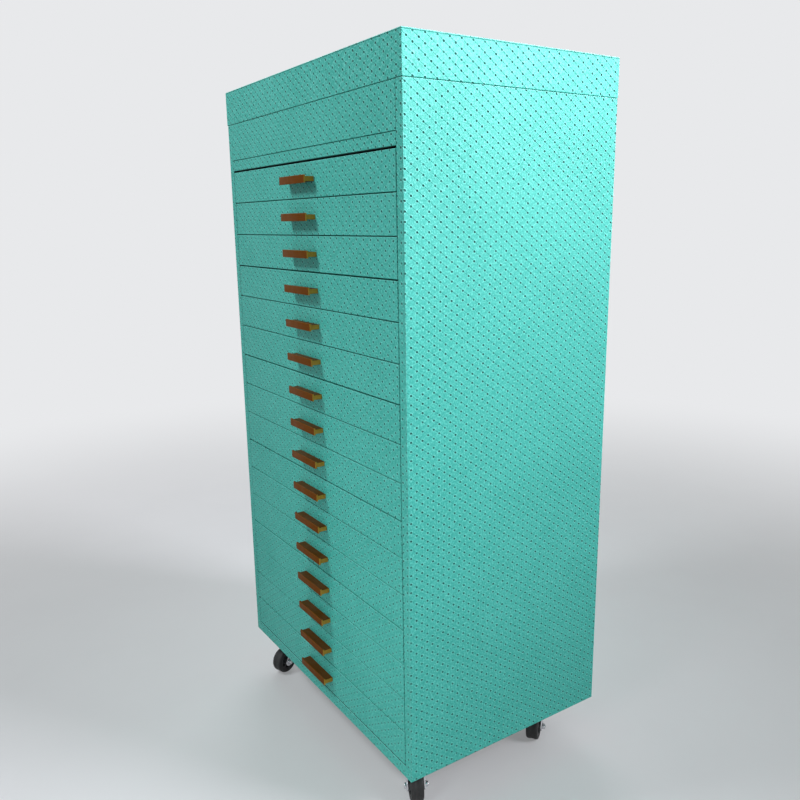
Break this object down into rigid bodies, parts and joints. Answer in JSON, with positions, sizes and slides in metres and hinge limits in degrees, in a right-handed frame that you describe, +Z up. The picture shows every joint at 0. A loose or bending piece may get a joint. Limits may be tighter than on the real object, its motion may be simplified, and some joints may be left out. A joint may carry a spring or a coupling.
{
  "type": "wheeled drawer cabinet",
  "caption": "Tall drawer cabinet on swivel casters, with shallow full-width drawers, T-bar handles and a hinged lid over a top compartment.",
  "frame": {"origin": "centre of the footprint (handles and hinges included), on the floor under the wheels", "axes": "+Z up, -Y the way the drawers open, +X to the right of someone facing the back of the cabinet from the front"},
  "size_m": [0.602, 0.4308, 1.185],
  "materials": {
    "leatherette": "turquoise embossed leatherette on board, satin",
    "felt": "grey flock felt",
    "copper": "copper-brown anodised bar, satin",
    "zinc_steel": "zinc-plated sheet steel",
    "caster_steel": "bright plated pressed steel",
    "wheel_rubber": "black moulded rubber and nylon"
  },
  "bodies": {
    "carcass": {"side_panel_left": "leatherette", "side_panel_right": "leatherette", "back_panel": "leatherette", "base_panel": "leatherette", "compartment_floor": "leatherette", "compartment_front": "leatherette", "compartment_lining": "felt", "hinge_leaves_cabinet": "zinc_steel", "hinge_pins": "zinc_steel", "drawer_rails": "zinc_steel", "rail_screws": "zinc_steel", "caster_plates": "caster_steel", "caster_kingpins": "caster_steel", "caster_screws": "caster_steel"},
    "lid": {"lid": "leatherette", "hinge_leaves_lid": "zinc_steel"},
    "drawer_01": {"drawer_01": "leatherette", "drawer_01_handle": "copper"},
    "drawer_02": {"drawer_02": "leatherette", "drawer_02_handle": "copper"},
    "drawer_03": {"drawer_03": "leatherette", "drawer_03_handle": "copper"},
    "drawer_04": {"drawer_04": "leatherette", "drawer_04_handle": "copper"},
    "drawer_05": {"drawer_05": "leatherette", "drawer_05_handle": "copper"},
    "drawer_06": {"drawer_06": "leatherette", "drawer_06_handle": "copper"},
    "drawer_07": {"drawer_07": "leatherette", "drawer_07_handle": "copper"},
    "drawer_08": {"drawer_08": "leatherette", "drawer_08_handle": "copper"},
    "drawer_09": {"drawer_09": "leatherette", "drawer_09_handle": "copper"},
    "drawer_10": {"drawer_10": "leatherette", "drawer_10_handle": "copper"},
    "drawer_11": {"drawer_11": "leatherette", "drawer_11_handle": "copper"},
    "drawer_12": {"drawer_12": "leatherette", "drawer_12_handle": "copper"},
    "drawer_13": {"drawer_13": "leatherette", "drawer_13_handle": "copper"},
    "drawer_14": {"drawer_14": "leatherette", "drawer_14_handle": "copper"},
    "drawer_15": {"drawer_15": "leatherette", "drawer_15_handle": "copper"},
    "drawer_16": {"drawer_16": "leatherette", "drawer_16_handle": "copper"},
    "caster_front_right": {"caster_front_right_fork": "caster_steel", "caster_front_right_axle": "caster_steel"},
    "wheel_front_right": {"caster_front_right_wheel": "wheel_rubber"},
    "caster_front_left": {"caster_front_left_fork": "caster_steel", "caster_front_left_axle": "caster_steel"},
    "wheel_front_left": {"caster_front_left_wheel": "wheel_rubber"},
    "caster_back_right": {"caster_back_right_fork": "caster_steel", "caster_back_right_axle": "caster_steel"},
    "wheel_back_right": {"caster_back_right_wheel": "wheel_rubber"},
    "caster_back_left": {"caster_back_left_fork": "caster_steel", "caster_back_left_axle": "caster_steel"},
    "wheel_back_left": {"caster_back_left_wheel": "wheel_rubber"}
  },
  "joints": [
    {"name": "lid_hinge", "type": "hinge", "parent": "carcass", "child": "lid", "pos_m": [0, 0.21218, 1.125], "axis": [-1, 0, 0], "range_deg": [0, 95]},
    {"name": "drawer_01_slide", "type": "slide", "parent": "carcass", "child": "drawer_01", "axis": [0, -1, 0], "range_m": [0, 0.26]},
    {"name": "drawer_02_slide", "type": "slide", "parent": "carcass", "child": "drawer_02", "axis": [0, -1, 0], "range_m": [0, 0.26]},
    {"name": "drawer_03_slide", "type": "slide", "parent": "carcass", "child": "drawer_03", "axis": [0, -1, 0], "range_m": [0, 0.26]},
    {"name": "drawer_04_slide", "type": "slide", "parent": "carcass", "child": "drawer_04", "axis": [0, -1, 0], "range_m": [0, 0.26]},
    {"name": "drawer_05_slide", "type": "slide", "parent": "carcass", "child": "drawer_05", "axis": [0, -1, 0], "range_m": [0, 0.26]},
    {"name": "drawer_06_slide", "type": "slide", "parent": "carcass", "child": "drawer_06", "axis": [0, -1, 0], "range_m": [0, 0.26]},
    {"name": "drawer_07_slide", "type": "slide", "parent": "carcass", "child": "drawer_07", "axis": [0, -1, 0], "range_m": [0, 0.26]},
    {"name": "drawer_08_slide", "type": "slide", "parent": "carcass", "child": "drawer_08", "axis": [0, -1, 0], "range_m": [0, 0.26]},
    {"name": "drawer_09_slide", "type": "slide", "parent": "carcass", "child": "drawer_09", "axis": [0, -1, 0], "range_m": [0, 0.26]},
    {"name": "drawer_10_slide", "type": "slide", "parent": "carcass", "child": "drawer_10", "axis": [0, -1, 0], "range_m": [0, 0.26]},
    {"name": "drawer_11_slide", "type": "slide", "parent": "carcass", "child": "drawer_11", "axis": [0, -1, 0], "range_m": [0, 0.26]},
    {"name": "drawer_12_slide", "type": "slide", "parent": "carcass", "child": "drawer_12", "axis": [0, -1, 0], "range_m": [0, 0.26]},
    {"name": "drawer_13_slide", "type": "slide", "parent": "carcass", "child": "drawer_13", "axis": [0, -1, 0], "range_m": [0, 0.26]},
    {"name": "drawer_14_slide", "type": "slide", "parent": "carcass", "child": "drawer_14", "axis": [0, -1, 0], "range_m": [0, 0.26]},
    {"name": "drawer_15_slide", "type": "slide", "parent": "carcass", "child": "drawer_15", "axis": [0, -1, 0], "range_m": [0, 0.26]},
    {"name": "drawer_16_slide", "type": "slide", "parent": "carcass", "child": "drawer_16", "axis": [0, -1, 0], "range_m": [0, 0.26]},
    {"name": "caster_front_right_swivel", "type": "hinge", "parent": "carcass", "child": "caster_front_right", "pos_m": [0.232, -0.14743, 0.075], "axis": [0, 0, 1], "continuous": true},
    {"name": "wheel_front_right_roll", "type": "hinge", "parent": "caster_front_right", "child": "wheel_front_right", "pos_m": [0.25537, -0.15882, 0.025], "axis": [0.4384, 0.8988, 0], "continuous": true},
    {"name": "caster_front_left_swivel", "type": "hinge", "parent": "carcass", "child": "caster_front_left", "pos_m": [-0.232, -0.14743, 0.075], "axis": [0, 0, 1], "continuous": true},
    {"name": "wheel_front_left_roll", "type": "hinge", "parent": "caster_front_left", "child": "wheel_front_left", "pos_m": [-0.22397, -0.17215, 0.025], "axis": [0.9511, 0.309, 0], "continuous": true},
    {"name": "caster_back_right_swivel", "type": "hinge", "parent": "carcass", "child": "caster_back_right", "pos_m": [0.232, 0.13458, 0.075], "axis": [0, 0, 1], "continuous": true},
    {"name": "wheel_back_right_roll", "type": "hinge", "parent": "caster_back_right", "child": "wheel_back_right", "pos_m": [0.24765, 0.11381, 0.025], "axis": [0.7986, 0.6018, 0], "continuous": true},
    {"name": "caster_back_left_swivel", "type": "hinge", "parent": "carcass", "child": "caster_back_left", "pos_m": [-0.232, 0.13458, 0.075], "axis": [0, 0, 1], "continuous": true},
    {"name": "wheel_back_left_roll", "type": "hinge", "parent": "caster_back_left", "child": "wheel_back_left", "pos_m": [-0.21208, 0.11786, 0.025], "axis": [0.6428, 0.766, 0], "continuous": true}
  ]
}
